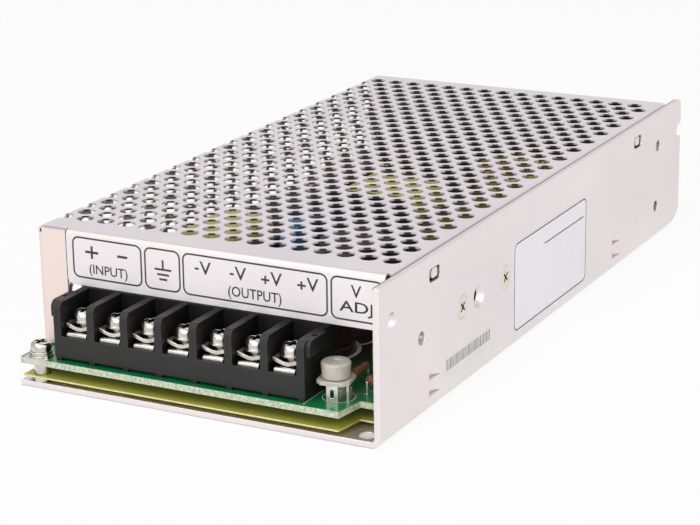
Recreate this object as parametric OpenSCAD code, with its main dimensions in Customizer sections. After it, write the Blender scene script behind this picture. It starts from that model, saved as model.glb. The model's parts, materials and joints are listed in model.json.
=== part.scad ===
// Enclosed DC-DC converter: folded chassis, perforated cover, barrier terminals and trimmer.
// Modules draw in case coordinates: X from the left side, Y from the terminal edge, Z from the base.

/* [Case] */
// Width of the chassis across the terminals
case_w = 98; // [97:0.5:130]
// Length of the chassis from its terminal edge to its rear edge
case_l = 199; // [190:1:260]
// Height of the chassis wall and of the cover's top
case_h = 38; // [36:0.5:60]
// Thickness of the chassis sheet
chassis_t = 1.5; // [1:0.1:2]
// Outer radius of the fold between plate and wall
fold_r = 2.5; // [2.2:0.1:4]
// Radius of the wall's top corner at the rear
wall_corner_r = 2; // [1:0.5:4]
// Air between pieces that seat without touching
fit_gap = 0.3; // [0.2:0.05:0.4]

/* [Cover] */
// Thickness of the cover sheet
cover_t = 0.5; // [0.4:0.1:0.8]
// Outer radius of the cover's bends
cover_r = 1.5; // [1.3:0.1:2]
// Distance from the terminal edge to the front flange
cover_front = 9.8; // [9:0.1:12]
// Distance from the cover's rear flange to the rear edge of the chassis
cover_rear = 6.3; // [5:0.1:9]
// Height of the front flange
flange_h = 13.6; // [10:0.1:15]
// Width of the left side's front return
return_w = 8.4; // [6:0.1:12]
// Depth of the lip that runs down inside the wall
lip_h = 8; // [7:0.5:12]
// Slit between neighbouring folds
seam = 0.2; // [0.1:0.05:0.4]

/* [Perforation] */
// Diameter of the perforations
perf_d = 4.4; // [2:0.1:4.6]
// Spacing of the perforations along a row
perf_pitch = 6; // [5.5:0.1:9]
// Spacing of the rows
row_pitch = 5; // [4.6:0.1:8]
// Distance from the front flange to the first row
perf_front = 10; // [7:0.1:16]
// Least distance from the last row to the rear flange
perf_rear = 7; // [5:0.1:12]
// Distance from the lip to the first hole of a row
perf_right = 4.55; // [4.5:0.05:9]
// Lowest height of a perforation's centre on the left side
perf_low = 16; // [14:0.5:24]

/* [Wall] */
// Diameter of the hole and of the rear notch for side mounting
side_hole_d = 4; // [3:0.1:5]
// Height of the side mounting hole and notch
side_hole_z = 28.7; // [24:0.1:30]
// Distance of the side mounting hole from the terminal edge
side_hole_y = 6.3; // [5:0.1:8]
// Depth of the rear notch
notch_depth = 3.4; // [2.5:0.1:5]
// Core diameter of the tapped side holes
tapped_d = 3.3; // [2.5:0.1:4]
// Length of the latch holes under the wall's top edge
latch_l = 5.8; // [4.5:0.1:8]
// Height of the latch holes
latch_h = 3.4; // [2.6:0.1:4]
// Distance of the latch holes below the top edge
latch_drop = 4.8; // [4:0.1:5]
// Length of a lanced board guide
guide_l = 6; // [4:0.1:8]
// Height of a lanced board guide
guide_h = 2.2; // [1.6:0.1:2.4]
// How far a guide's open end is pushed in
guide_push = 2.2; // [1.7:0.1:2.6]

/* [Board] */
// Thickness of the circuit board
board_t = 1.6; // [1:0.1:2]
// Height of the board's underside above the base
board_z = 6.2; // [5.8:0.1:7]
// How far the board stands out past the terminal edge
board_overhang = 0.8; // [0.4:0.1:1.5]
// Width of the step in the board's front edge beside the wall
step_w = 8.2; // [6:0.1:9]
// Depth of that step
step_l = 8.2; // [5:0.1:10]
// Thickness of the insulation sheet
sheet_t = 0.4; // [0.2:0.05:0.6]
// Height of the insulation sheet's underside above the base
sheet_z = 2.8; // [2.6:0.1:3.2]
// Diameter of the board standoffs above the insulation sheet
standoff_d = 4; // [3.8:0.1:4.4]
// Thread diameter of the small screws
screw_d = 3; // [2.5:0.1:3]

/* [Terminals] */
// Number of terminals
ways = 7; // [7]
// Spacing of the terminals
way_pitch = 9.5; // [9.3:0.05:9.7]
// Thickness of a barrier
barrier_t = 2; // [1.6:0.1:2.2]
// Distance of the block's end from the left side of the case
block_x = 10; // [9.8:0.1:10.4]
// Distance of the block from the board's front edge
block_y = 1.6; // [1:0.1:2]
// Depth of the block
block_l = 14.7; // [14:0.1:17]
// Height of the block above the board
block_h = 14.7; // [14.2:0.1:16]
// Height of the bay floors above the board
floor_h = 6.2; // [5.5:0.1:6.4]
// Height of the ribs that the block stands on
foot_h = 0.8; // [0.4:0.1:1.2]
// Radius of a barrier's upper front corner
barrier_r = 1.8; // [1:0.1:3]
// How far the end lugs stand out
lug_t = 1.1; // [0.6:0.1:1.4]
// Distance of the terminal screws from the block's front
terminal_y = 5.2; // [4.8:0.1:5.6]
// Width of a contact plate
contact_w = 5.4; // [4.8:0.1:6]
// Thickness of a contact plate
contact_t = 1; // [0.8:0.1:1.2]
// Width of a clamp plate
clamp_w = 7; // [6.6:0.05:7.2]
// Length of a clamp plate
clamp_l = 6.6; // [5:0.1:6.8]
// Thickness of a clamp plate
clamp_t = 0.9; // [0.6:0.05:1]
// Rise of a clamp plate's wings
clamp_rise = 0.9; // [0.4:0.05:1]
// Diameter of a terminal screw's shank
shank_d = 3.4; // [2.8:0.1:3.5]
// Diameter of a terminal screw's head
head_d = 5.6; // [5:0.1:6]
// Height of a terminal screw's head
head_h = 2.7; // [2.2:0.1:3]

/* [Trimmer] */
// Distance of the trimmer's axis from the end of the block
trimmer_x = 4.9; // [4.8:0.1:5.6]
// Distance of the trimmer's axis from the board's front edge
trimmer_y = 7.8; // [6.5:0.1:9]
// Diameter of the knob at its top
knob_d = 7; // [6:0.1:8]
// Height of the knob
knob_h = 3.7; // [3:0.1:5]
// Width across the flats of the base's flange
trimmer_flange_w = 7.8; // [7:0.1:7.8]
// Height of the flange's underside above the board
trimmer_flange_z = 4.2; // [3:0.1:4.5]
// Angle at which the trimmer's frame stands on the board
trimmer_turn = 10; // [0:5:45]
// Diameter of the knob's shaft
knob_shaft_d = 2.9; // [2.4:0.1:3.2]

/* [Parts on the board] */
// Diameter of the input capacitors
input_can_d = 18; // [12:0.5:18.5]
// Height of the input capacitors
input_can_h = 23; // [16:0.5:24]
// Diameter of the output capacitors
output_can_d = 10; // [8:0.5:11]
// Height of the output capacitors
output_can_h = 20; // [12:0.5:24]
// Width of the transformer core
core_w = 36; // [33:0.5:38]
// Length of the transformer core
core_l = 35; // [32:0.5:38]
// Thickness of the transformer core
core_t = 11; // [9:0.5:12]
// Outer diameter of the output choke's ring
ring_d = 26; // [22:0.5:28]
// Height of the output choke's ring
ring_h = 14; // [8:0.5:15]
// Turns of wire on the output choke
ring_turns = 18; // [10:1:20]

/* [Hidden] */
$fn = 48;
eps = 0.01;
wall_in = case_w - chassis_t;
board_top = board_z + board_t;
board_front = -board_overhang;
cover_back = case_l - cover_rear;
cover_right = wall_in - fit_gap;
board_left = cover_t + fit_gap;
board_right = wall_in - fit_gap;
board_back = cover_back - cover_t - fit_gap;

// Perforation, counted along the flat sheet from the lip towards the left side
perf_r = perf_d / 2;
perf_rows = floor((cover_back - cover_front - perf_front - perf_rear) / row_pitch);
bend_mid_r = cover_r - cover_t / 2;
bend_arc = bend_mid_r * PI / 2;
function row_y(row) = cover_front + perf_front + row * row_pitch;
function row_start(row) = cover_right - perf_right - (row % 2) * perf_pitch / 2;
function row_holes(row) = floor((row_start(row) - cover_r - perf_r) / perf_pitch) + 1;
function past_bend(row, i) = cover_r - row_start(row) + perf_pitch * (row_holes(row) + i);
function bend_angle(past) = min(90, max(0, past / bend_mid_r * 180 / PI));
function bend_drop(past) = max(0, past - bend_arc);
function side_z(past) = case_h - cover_r - bend_drop(past);

// Right wall: distances that belong to the front are from the terminal edge, the rest from the rear edge
front_tap = [21.5, 19.7];
rear_taps = [[19.4, 28.1], [20.2, 10.2]];
transistor_y = [44.3, 69.7];
transistor_z = 20.3;
spare_sink_y = 53.5;
sink_d = 6;
screw_clear = 0.3;
sink_hole_d = screw_d + screw_clear;
latch_front = 28.8;
latch_rear = 36.3;
latch_y = [latch_front, case_l - latch_rear];
latch_play = 0.5;
latch_tab_l = 3.2;
latch_in = 0.5;
lance_w = 0.5;
guide_front = 25.5;
guide_rear = 55.3;
guide_y = [guide_front, case_l - guide_rear];
guide_gap = 0.1;
guide_z = [board_z - guide_gap - guide_h, board_top + guide_gap];
relief_l = 4.4;
relief_z = 4.4;
base_hole_d = 4;
base_hole_in = 3.5;
base_hole_side = 5;

// Ears that carry the cover's left side
ear_w = 12;
ear_h = 14;
ear_front = 45;
ear_rear = 49;
ear_y = [ear_front, case_l - ear_rear];
ear_corner_r = 2;
ear_x = cover_t + seam;
ear_screw_z = 11;
tap_cut = 0.5;
ear_tap_d = screw_d - tap_cut;
cover_sink_d = 5.4;
sink_cross = [3, 0.6];
sink_cross_depth = 0.7;
cover_cross_depth = 0.4;

// Board outline and fasteners
step_slant = 1.3;
board_screw_x = 4.9;
board_screw_front = 3;
board_screw_rear = 4;
board_screw_y = [board_front + board_screw_front, case_l / 2, board_back - board_screw_rear];
standoff_step = 0.2;
collar_d = standoff_d + 2 * standoff_step;
flat_washer_d = 6;
flat_washer_t = 0.5;
spring_washer_d = 5.6;
spring_washer_t = 0.9;
split_w = 0.6;
split_tilt = 20;
split_turn = 215;
small_head_d = 5.2;
small_head_h = 2.2;
small_cross_w = 0.9;
small_cross_depth = 1.2;
screw_play = 0.1;

// Terminal block
block_front = board_front + block_y;
block_w = ways * way_pitch + barrier_t;
floor_z = board_top + floor_h;
back_wall_t = 2;
terminal_at = block_front + terminal_y;
lug_h = 3.9;
lug_l = 8.4;
lug_in = 0.85;
lug_hole_d = 1.4;
lug_hole_in = 4.6;
lug_hole_depth = 3;
foot_w = 1.5;
contact_in = 0.9;
contact_front = block_front + contact_in;
contact_back = block_front + block_l - back_wall_t - fit_gap;
leg_w = 3;
leg_play = 0.2;
contact_top = floor_z + contact_t;
contact_roll_r = 0.9 * contact_t;
thread_play = 0.05;
seat_gap = 0.25;
clamp_flat = 1.2;
clamp_z = contact_top + seat_gap;
collar_over = 0.3;
collar_h = 0.5;
collar_r = head_d / 2 + collar_over / 2;
wing_slope = clamp_rise / ((clamp_w - clamp_flat) / 2);
head_z = clamp_z + clamp_t + wing_slope * (collar_r - clamp_flat / 2) + seat_gap;
shank_l = 6.4;
pocket_play = 0.7;
pocket_under = 0.6;
pocket_d = shank_d + 2 * pocket_play;
pocket_l = floor_z - (head_z - shank_l) + pocket_under;
cross_w = 1.1;
cross_l = 0.66;
cross_depth = 1.6;
head_round = 0.45;
function way_x(i) = block_x + barrier_t / 2 + way_pitch * (i - 0.5);

// Trimmer
trimmer_at = [block_x + block_w + trimmer_x, board_front + trimmer_y];
trimmer_flange_t = 0.9;
trimmer_chamfer = 1.3;
frame_leg_w = 2.8;
frame_leg_t = 0.6;
frame_leg_out = 3.4;
frame_window = [0.9, 1.9];
knob_z = board_top + trimmer_flange_z + trimmer_flange_t + seat_gap;
shaft_collar_d = 4.2;
shaft_collar_h = 0.8;
shaft_play = 0.05;
shaft_under = 1;
knob_taper = 0.2;
knob_edge = 0.35;
knob_slot = [3, 1.6, 2.8];
knob_slot_depth = 0.3;

// Places of the parts on the board
can_shoulder = 0.9;
bead_z = 2.4;
bead_r = 0.5;
bead_depth = 0.3;
score_l = 0.7;
score_w = 0.5;
score_depth = 0.3;
input_can_at = [[-32.5, 35.3], [-32, 54.3]];
output_can_at = [[-8.5, 137], [-8.5, 149], [-8.5, 161], [-8.5, 173]];
transformer_at = [53, 96.3];
filter_at = [20, 66.8];
filter_core = [24, 30, 9];
ring_at = [-30.5, 157.8];
disc_at = [38.7, 70.9];
disc_d = 11;
disc_t = 4.4;
disc_lift = 9;
dipped_at = [22, 168.8];
dipped_box = [7, 4, 8];
dipped_lift = 5.5;
dipped_r = 1.5;
shield_gap = 9;
shield_from = -38.3;
shield_l = 38;
shield_h = 25;
shield_foot = 5;
shield_r = 1;
fuse_at = [10, 33.8];
fuse_d = 5.2;
fuse_l = 20;
fuse_cap_l = 5;
fuse_lift = 1;
fuse_cap_t = 0.3;
chip_at = [[14, 110.8], [14, 124.8], [27, 144.8]];
chip_size = [7, 10, 3.6];
chip_lift = 0.5;
chip_leg = [0.4, 0.8, 2];
green_box = [7.5, 5.5, 5.4];
green_at = [-13.8, 26.3];
green_r = 1;
resistor_at = [[-13.5, 17.2], [-8, 14.3]];
resistor_l = 6;
resistor_d = 2.1;
resistor_waist_d = 1.7;
resistor_end_l = 1.7;
resistor_z = 2.7;
lead_over = 1.2;
lead_d = 0.6;
lead_pitch = 2.54;
package_leg = [0.6, 0.8];
package_leg_in = 2.8;
package = [4.4, 10, 7.2];
tab_t = 1.3;
tab_h = 7;
pad_t = 0.3;
nut_d = 6;
nut_t = 2.4;

// Wound parts
core_leg = 6;
coil_gap = 0.2;
former_wall = 0.8;
former_flange_t = 1;
core_lift = 7;
coil_l = core_l - 2 * core_leg - 2 * coil_gap;
coil_hole = [2 * core_leg + 2 * coil_gap, core_t + 2 * coil_gap];
former_size = [core_w - 2 * core_leg - 2 * coil_gap, core_t + 2 * core_lift];
coil_mid_z = core_lift + core_t / 2;
wound_in = [0.6, 1];
wound_hole = [coil_hole[0] + 2 * former_wall + coil_gap, coil_hole[1] + 2 * former_wall + coil_gap];
wound_size = former_size - wound_in;
wound_r = 2.5;
filter_leg = 4;
filter_lift = 5;
filter_hole = [2 * filter_leg + coil_gap, filter_core[2] + coil_gap];
filter_coil = [filter_core[0] - 2 * filter_leg - 2 * coil_gap, filter_core[2] + 2 * filter_lift];
ring_wire = 1.2;
ring_bore = 0.55;
ring_in_d = ring_d * ring_bore;
ring_lift = ring_wire + coil_gap;
ring_corner_r = 1;
turn_r = 0.6;

// The frame: origin under the middle of the whole, on the base
module in_case() {
    translate([-case_w / 2, -(case_l - board_overhang) / 2, 0]) children();
}

// Extrudes an outline in X and Z from y1 to y2
module along_y(y1, y2) {
    translate([0, y2, 0]) rotate([90, 0, 0]) linear_extrude(y2 - y1) children();
}

// Extrudes an outline in Y and Z from x1 to x2
module along_x(x1, x2) {
    translate([x1, 0, 0]) rotate([90, 0, 90]) linear_extrude(x2 - x1) children();
}

// A cylinder that runs in +X from a point
module bar_x(p, d, l) {
    translate(p) rotate([0, 90, 0]) cylinder(d = d, h = l);
}

// A countersink whose wide end is at the point, and which runs in +X
module sink_x(p, d1, d2, l) {
    translate(p) rotate([0, 90, 0]) cylinder(d1 = d1, d2 = d2, h = l);
}

// A rectangle with four round corners
module rounded(size, r) {
    translate([r, 0]) square([size[0] - 2 * r, size[1]]);
    translate([0, r]) square([size[0], size[1] - 2 * r]);
    for (x = [r, size[0] - r])
        for (y = [r, size[1] - r])
            translate([x, y]) circle(r);
}

// The section of a bend about its own centre, in the +X +Y quarter, with a short lap at each end
module quarter_ring(r, t) {
    intersection() {
        difference() {
            circle(r);
            circle(r - t);
        }
        square(r);
    }
    translate([r - t, -eps]) square([t, eps]);
    translate([-eps, r - t]) square([eps, t]);
}

// What is cut from a square corner at the origin, seen from inside it, to leave it round
module corner_waste(r) {
    difference() {
        translate([-r, -r]) square(r + 1);
        translate([-r, -r]) circle(r);
    }
}

// Chassis
module chassis_section() {
    difference() {
        union() {
            translate([0, fold_r]) square([case_w, case_h - fold_r]);
            square([case_w - fold_r, case_h]);
            translate([case_w - fold_r, fold_r]) circle(fold_r);
        }
        translate([-1, fold_r]) square([wall_in + 1, case_h]);
        translate([-1, chassis_t]) square([case_w - fold_r + 1, case_h]);
        translate([case_w - fold_r, fold_r]) circle(fold_r - chassis_t);
    }
}

module guide_tab() {
    linear_extrude(guide_h)
        polygon([[case_w - guide_push, 0], [case_w, guide_l],
            [wall_in, guide_l], [wall_in - guide_push, 0]]);
}

module each_guide() {
    for (y = guide_y)
        for (z = guide_z)
            translate([0, y, z]) children();
}

module latch_hole(l, h) {
    translate([-l / 2, -h / 2]) rounded([l, h], h / 3);
}

module wall_cuts() {
    cut_x = wall_in - 1;
    cut_l = chassis_t + 2;
    bar_x([cut_x, side_hole_y, side_hole_z], side_hole_d, cut_l);
    notch_y = case_l - notch_depth + side_hole_d / 2;
    bar_x([cut_x, notch_y, side_hole_z], side_hole_d, cut_l);
    translate([cut_x, notch_y, side_hole_z - side_hole_d / 2]) cube([cut_l, notch_depth, side_hole_d]);
    bar_x([cut_x, front_tap[0], front_tap[1]], tapped_d, cut_l);
    for (p = rear_taps)
        bar_x([cut_x, case_l - p[0], p[1]], tapped_d, cut_l);
    for (y = concat(transistor_y, [spare_sink_y]))
        sink_x([wall_in, y, transistor_z], sink_hole_d, sink_d, chassis_t);
    for (y = latch_y)
        along_x(cut_x, cut_x + cut_l) translate([y, case_h - latch_drop]) latch_hole(latch_l, latch_h);
    along_x(cut_x, cut_x + cut_l) translate([case_l, case_h]) corner_waste(wall_corner_r);
}

// The fold is cut away at the rear corner, in the wall and in the plate
module rear_relief() {
    along_x(case_w - base_hole_side, case_w + 1)
        polygon([[case_l - relief_l, -1], [case_l - relief_l, chassis_t], [case_l, relief_z],
            [case_l + 1, relief_z], [case_l + 1, -1]]);
}

module base_cuts() {
    for (p = [[case_w - base_hole_side, base_hole_in], [base_hole_side, case_l - base_hole_in]])
        translate([p[0], p[1], -1]) cylinder(d = base_hole_d, h = chassis_t + 2);
}

module ears() {
    for (y = ear_y)
        difference() {
            along_x(ear_x, ear_x + chassis_t)
                translate([y - ear_w / 2, 0]) {
                    rounded([ear_w, ear_h], ear_corner_r);
                    square([ear_w, ear_h / 2]);
                }
            bar_x([ear_x - 1, y, ear_screw_z], ear_tap_d, chassis_t + 2);
        }
}

module chassis() {
    color("#d8d5d2")
    in_case() {
        difference() {
            union() {
                difference() {
                    along_y(0, case_l) chassis_section();
                    each_guide() translate([wall_in - eps, 0, 0]) cube([chassis_t + 1, guide_l, guide_h]);
                }
                each_guide() guide_tab();
                ears();
            }
            wall_cuts();
            rear_relief();
            base_cuts();
        }
    }
}

// Cover
module cover_top() {
    y1 = cover_front + cover_r;
    y2 = cover_back - cover_r;
    corner_y = cover_front + cover_t + seam;
    translate([0, 0, case_h - cover_t])
        linear_extrude(cover_t)
        difference() {
            union() {
                translate([cover_r, y1]) square([cover_right - 2 * cover_r, y2 - y1]);
                translate([cover_r, corner_y]) square([return_w - cover_r, y1 - corner_y]);
            }
            for (row = [0:perf_rows])
                for (i = [0:row_holes(row) - 1])
                    translate([row_start(row) - perf_pitch * i, row_y(row)]) circle(perf_r);
        }
}

module cover_side() {
    bottom = chassis_t + seam;
    top = case_h - cover_r;
    along_x(0, cover_t)
        difference() {
            translate([cover_front + cover_r, bottom])
                square([cover_back - cover_front - cover_r, top - bottom]);
            for (row = [0:perf_rows])
                for (i = [1:floor(case_h / perf_pitch)])
                    if (side_z(past_bend(row, i)) >= perf_low)
                        translate([row_y(row), side_z(past_bend(row, i))]) circle(perf_r);
        }
}

// The first hole of each row that lies on or just under the bend
module bend_holes() {
    for (row = [0:perf_rows])
        translate([cover_r, row_y(row), side_z(past_bend(row, 0))])
            rotate([0, -bend_angle(past_bend(row, 0)), 0])
            translate([0, 0, (cover_r - cover_t) / 2]) cylinder(r = perf_r, h = cover_r + 1);
}

module front_flange() {
    x1 = return_w + seam;
    z1 = case_h - flange_h;
    z2 = case_h - cover_r;
    along_x(x1, cover_right - cover_r)
        translate([cover_front + cover_r, z2]) mirror([1, 0]) quarter_ring(cover_r, cover_t);
    translate([0, cover_front + cover_t, 0]) rotate([90, 0, 0]) linear_extrude(cover_t)
        difference() {
            translate([x1, z1]) square([cover_right - x1, z2 - z1]);
            translate([x1, z1]) rotate(180) corner_waste(cover_r);
        }
}

module front_return() {
    bottom = board_top + fit_gap;
    translate([0, 0, bottom]) linear_extrude(case_h - cover_r - bottom)
        translate([cover_r, cover_front + cover_r]) rotate(180) quarter_ring(cover_r, cover_t);
    translate([cover_r, cover_front, bottom]) cube([return_w - cover_r, cover_t, case_h - seam - bottom]);
}

module rear_flange() {
    x1 = cover_t + seam;
    bottom = chassis_t + seam;
    along_x(cover_r, cover_right - cover_r)
        translate([cover_back - cover_r, case_h - cover_r]) quarter_ring(cover_r, cover_t);
    translate([x1, cover_back - cover_t, bottom])
        cube([cover_right - x1, cover_t, case_h - cover_r - bottom]);
}

module inner_lip() {
    y1 = cover_front + cover_r + seam;
    y2 = cover_back - cover_r - seam;
    tab_h = latch_h - 2 * latch_play;
    difference() {
        along_y(y1, y2) {
            translate([cover_right - cover_r, case_h - cover_r]) quarter_ring(cover_r, cover_t);
            translate([cover_right - cover_t, case_h - lip_h]) square([cover_t, lip_h - cover_r]);
        }
        each_latch()
            translate([cover_right - cover_t - 1, -latch_tab_l - lance_w, -tab_h / 2])
            cube([cover_t + 2, lance_w, tab_h]);
    }
    each_latch()
        along_x(cover_right - eps, case_w - latch_in)
        translate([-latch_tab_l / 2, 0]) latch_hole(latch_tab_l, tab_h);
}

// The rear end of each latch tab, which stands out of the lip behind a lanced slit
module each_latch() {
    for (y = latch_y)
        translate([0, y + latch_l / 2 - latch_play, case_h - latch_drop]) children();
}

module cover() {
    color("#c9c7c6")
    in_case() {
        difference() {
            union() {
                cover_top();
                along_y(cover_front + cover_t + seam, cover_back - cover_r)
                    translate([cover_r, case_h - cover_r]) mirror([1, 0]) quarter_ring(cover_r, cover_t);
                cover_side();
                front_flange();
                front_return();
                rear_flange();
                inner_lip();
            }
            bend_holes();
            for (y = ear_y) {
                sink_x([0, y, ear_screw_z], cover_sink_d, sink_hole_d, cover_t);
                bar_x([-1, y, ear_screw_z], sink_hole_d, cover_t + 2);
            }
        }
    }
}

module cover_screws() {
    color("#b9b6ae")
    in_case()
    for (y = ear_y)
        difference() {
            union() {
                sink_x([0, y, ear_screw_z], cover_sink_d - screw_play, sink_hole_d - screw_play, cover_t);
                bar_x([0, y, ear_screw_z], ear_tap_d - screw_play, ear_x + chassis_t + 1);
            }
            cross_cut_x([0, y, ear_screw_z], -1, cover_cross_depth);
        }
}

// A cross recess in a countersunk head: from one depth along X to another
module cross_cut_x(p, x1, x2) {
    for (turn = [45, 135])
        translate(p) rotate([turn, 0, 0])
            translate([x1, -sink_cross[0] / 2, -sink_cross[1] / 2])
            cube([x2 - x1, sink_cross[0], sink_cross[1]]);
}

// Board
module board_outline(inset) {
    x1 = board_left + inset;
    x2 = board_right - inset;
    y1 = board_front + inset;
    step_x = x2 - step_w;
    difference() {
        polygon([[x1, y1], [step_x, y1], [step_x + step_slant, y1 + step_l], [x2, y1 + step_l],
            [x2, board_back - inset], [x1, board_back - inset]]);
        for (y = ear_y)
            translate([0, y - ear_w / 2 - fit_gap])
                square([ear_x + chassis_t + fit_gap, ear_w + 2 * fit_gap]);
    }
}

module each_board_screw() {
    for (y = board_screw_y)
        translate([board_screw_x, y, 0]) children();
}

module circuit_board() {
    color("#0c7a45")
    in_case()
    difference() {
        translate([0, 0, board_z]) linear_extrude(board_t) board_outline(0);
        each_board_screw()
            translate([0, 0, board_z - 1]) cylinder(d = screw_d + 2 * screw_play, h = board_t + 2);
    }
}

module insulation_sheet() {
    color("#b5b52c")
    in_case()
    difference() {
        translate([0, 0, sheet_z]) linear_extrude(sheet_t) board_outline(fit_gap);
        each_board_screw()
            translate([0, 0, sheet_z - 1]) cylinder(d = standoff_d + standoff_step, h = sheet_t + 2);
    }
}

module board_standoffs() {
    color("#d0cec8")
    in_case()
    each_board_screw()
    translate([0, 0, chassis_t])
        rotate_extrude()
        polygon([[ear_tap_d / 2, 0], [collar_d / 2, 0], [collar_d / 2, sheet_z - chassis_t],
            [standoff_d / 2, sheet_z - chassis_t], [standoff_d / 2, board_z - chassis_t],
            [ear_tap_d / 2, board_z - chassis_t]]);
}

module washer(d, t) {
    difference() {
        cylinder(d = d, h = t);
        translate([0, 0, -1]) cylinder(d = screw_d + 2 * screw_play, h = t + 2);
    }
}

module board_flat_washers() {
    color("#cfccc4")
    in_case()
    each_board_screw() translate([0, 0, board_top]) washer(flat_washer_d, flat_washer_t);
}

module board_spring_washers() {
    color("#bdb9ae")
    in_case()
    each_board_screw() translate([0, 0, board_top + flat_washer_t])
        difference() {
            washer(spring_washer_d, spring_washer_t);
            rotate([0, split_tilt, split_turn])
                translate([0, -split_w / 2, -2]) cube([spring_washer_d, split_w, 5]);
        }
}

module board_screws() {
    color("#c9c5bb")
    in_case()
    each_board_screw() {
        head_at = board_top + flat_washer_t + spring_washer_t;
        difference() {
            union() {
                translate([0, 0, head_at]) screw_head(small_head_d, small_head_h);
                translate([0, 0, chassis_t + 1])
                    cylinder(d = ear_tap_d - screw_play, h = head_at - chassis_t - 1);
            }
            translate([0, 0, head_at + small_head_h])
                cross_recess(small_head_d * cross_l, small_cross_w, small_cross_depth);
        }
    }
}

// A pan head that stands on z = 0
module screw_head(d, h) {
    r = h * head_round;
    cylinder(d = d, h = h - r);
    rotate_extrude()
        intersection() {
            square([d / 2, h]);
            union() {
                translate([d / 2 - r, h - r]) circle(r);
                square([d / 2 - r, h]);
            }
        }
}

// A cross recess below z = 0
module cross_recess(l, w, depth) {
    for (turn = [0, 90])
        rotate(turn) translate([-l / 2, -w / 2, -depth]) cube([l, w, depth + 1]);
}

// Terminals
module barrier_outline() {
    h = block_h - foot_h;
    difference() {
        square([block_l, h]);
        translate([0, h]) mirror([1, 0]) corner_waste(barrier_r);
    }
}

module end_lug() {
    translate([lug_in, block_h - foot_h - lug_h])
        difference() {
            square([lug_l, lug_h]);
            translate([0, lug_h]) mirror([1, 0]) corner_waste(barrier_r);
        }
}

module terminal_block() {
    color("#262425")
    in_case()
    translate([block_x, block_front, board_top])
    difference() {
        union() {
            for (i = [0:ways])
                translate([way_pitch * i, 0, foot_h]) along_x(0, barrier_t) barrier_outline();
            translate([0, 0, foot_h]) cube([block_w, block_l, floor_h - foot_h]);
            translate([0, block_l - back_wall_t, foot_h]) cube([block_w, back_wall_t, block_h - foot_h]);
            for (i = [0:ways])
                translate([way_pitch * i + (barrier_t - foot_w) / 2, 0, 0])
                    cube([foot_w, block_l, foot_h + eps]);
            translate([-lug_t, 0, foot_h]) along_x(0, lug_t + eps) end_lug();
            translate([block_w - eps, 0, foot_h]) along_x(0, lug_t + eps) end_lug();
        }
        for (x = [0, block_w])
            translate([x, lug_in + lug_hole_in, block_h - lug_hole_depth])
                cylinder(d = lug_hole_d, h = lug_hole_depth + 1);
        for (i = [1:ways])
            translate([barrier_t / 2 + way_pitch * (i - 0.5), 0, 0]) {
                translate([0, terminal_y, floor_h - pocket_l]) cylinder(d = pocket_d, h = pocket_l + 1);
                translate([-leg_w / 2 - leg_play, contact_back - block_front - contact_t - leg_play, -1])
                    cube([leg_w + 2 * leg_play, contact_t + 2 * leg_play, floor_h + 2]);
            }
    }
}

// A contact plate whose front edge rolls down to the bay floor, with a leg to the board at its rear
module terminal_contacts() {
    color("#cbc8c0")
    in_case()
    for (i = [1:ways])
        translate([way_x(i), 0, 0])
        difference() {
            union() {
                translate([0, contact_front, floor_z])
                    along_x(-contact_w / 2, contact_w / 2)
                    difference() {
                        square([contact_back - contact_front, contact_t]);
                        translate([0, contact_t]) mirror([1, 0]) corner_waste(contact_roll_r);
                    }
                translate([-leg_w / 2, contact_back - contact_t, board_top])
                    cube([leg_w, contact_t, floor_z - board_top + eps]);
            }
            translate([0, terminal_at, floor_z - 1])
                cylinder(d = shank_d + 2 * thread_play, h = contact_t + 2);
        }
}

module clamp_plate(i) {
    w = clamp_w / 2;
    f = clamp_flat / 2;
    color("#c2bdb0")
    in_case()
    translate([way_x(i), terminal_at, clamp_z])
    difference() {
        along_y(-clamp_l / 2, clamp_l / 2)
            polygon([[-w, clamp_rise], [-f, 0], [f, 0], [w, clamp_rise],
                [w, clamp_rise + clamp_t], [f, clamp_t], [-f, clamp_t], [-w, clamp_rise + clamp_t]]);
        translate([0, 0, -1]) cylinder(d = shank_d + 2 * thread_play, h = clamp_rise + clamp_t + 2);
    }
}

module terminal_screw(i) {
    color("#d6d3cb")
    in_case()
    translate([way_x(i), terminal_at, head_z])
    difference() {
        union() {
            cylinder(r = collar_r, h = collar_h);
            screw_head(head_d, head_h);
            translate([0, 0, -shank_l]) cylinder(d = shank_d, h = shank_l);
        }
        translate([0, 0, head_h]) cross_recess(head_d * cross_l, cross_w, cross_depth);
    }
}

// Trimmer
module trimmer_flange() {
    a = trimmer_flange_w / 2;
    c = a - trimmer_chamfer;
    polygon([[-a, -c], [-c, -a], [c, -a], [a, -c], [a, c], [c, a], [-c, a], [-a, c]]);
}

// One flat pin of the trimmer, with its window
module frame_leg() {
    window_z = (trimmer_flange_z - frame_window[1]) / 2;
    translate([-frame_leg_w / 2, -frame_leg_out, 0])
        difference() {
            cube([frame_leg_w, frame_leg_t, trimmer_flange_z]);
            translate([(frame_leg_w - frame_window[0]) / 2, -1, window_z])
                cube([frame_window[0], frame_leg_t + 2, frame_window[1]]);
        }
}

module trimmer_base() {
    color("#e8e6de")
    in_case()
    translate([trimmer_at[0], trimmer_at[1], board_top + trimmer_flange_z])
    rotate(trimmer_turn)
    linear_extrude(trimmer_flange_t)
    difference() {
        trimmer_flange();
        circle(d = knob_shaft_d + 2 * shaft_play);
    }
}

// Three pins: in front, beside the step of the board, and at the back
module trimmer_legs() {
    color("#d9d6cf")
    in_case()
    translate([trimmer_at[0], trimmer_at[1], board_top])
    for (turn = [0, 90, 180])
        rotate(trimmer_turn + turn) frame_leg();
}

// Half the knob's section: a little wider at the top, with a broken upper edge
module knob_section() {
    r = knob_d / 2;
    polygon([[0, 0], [r - knob_taper, 0], [r, knob_h - knob_edge], [r - knob_edge, knob_h], [0, knob_h]]);
}

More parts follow.
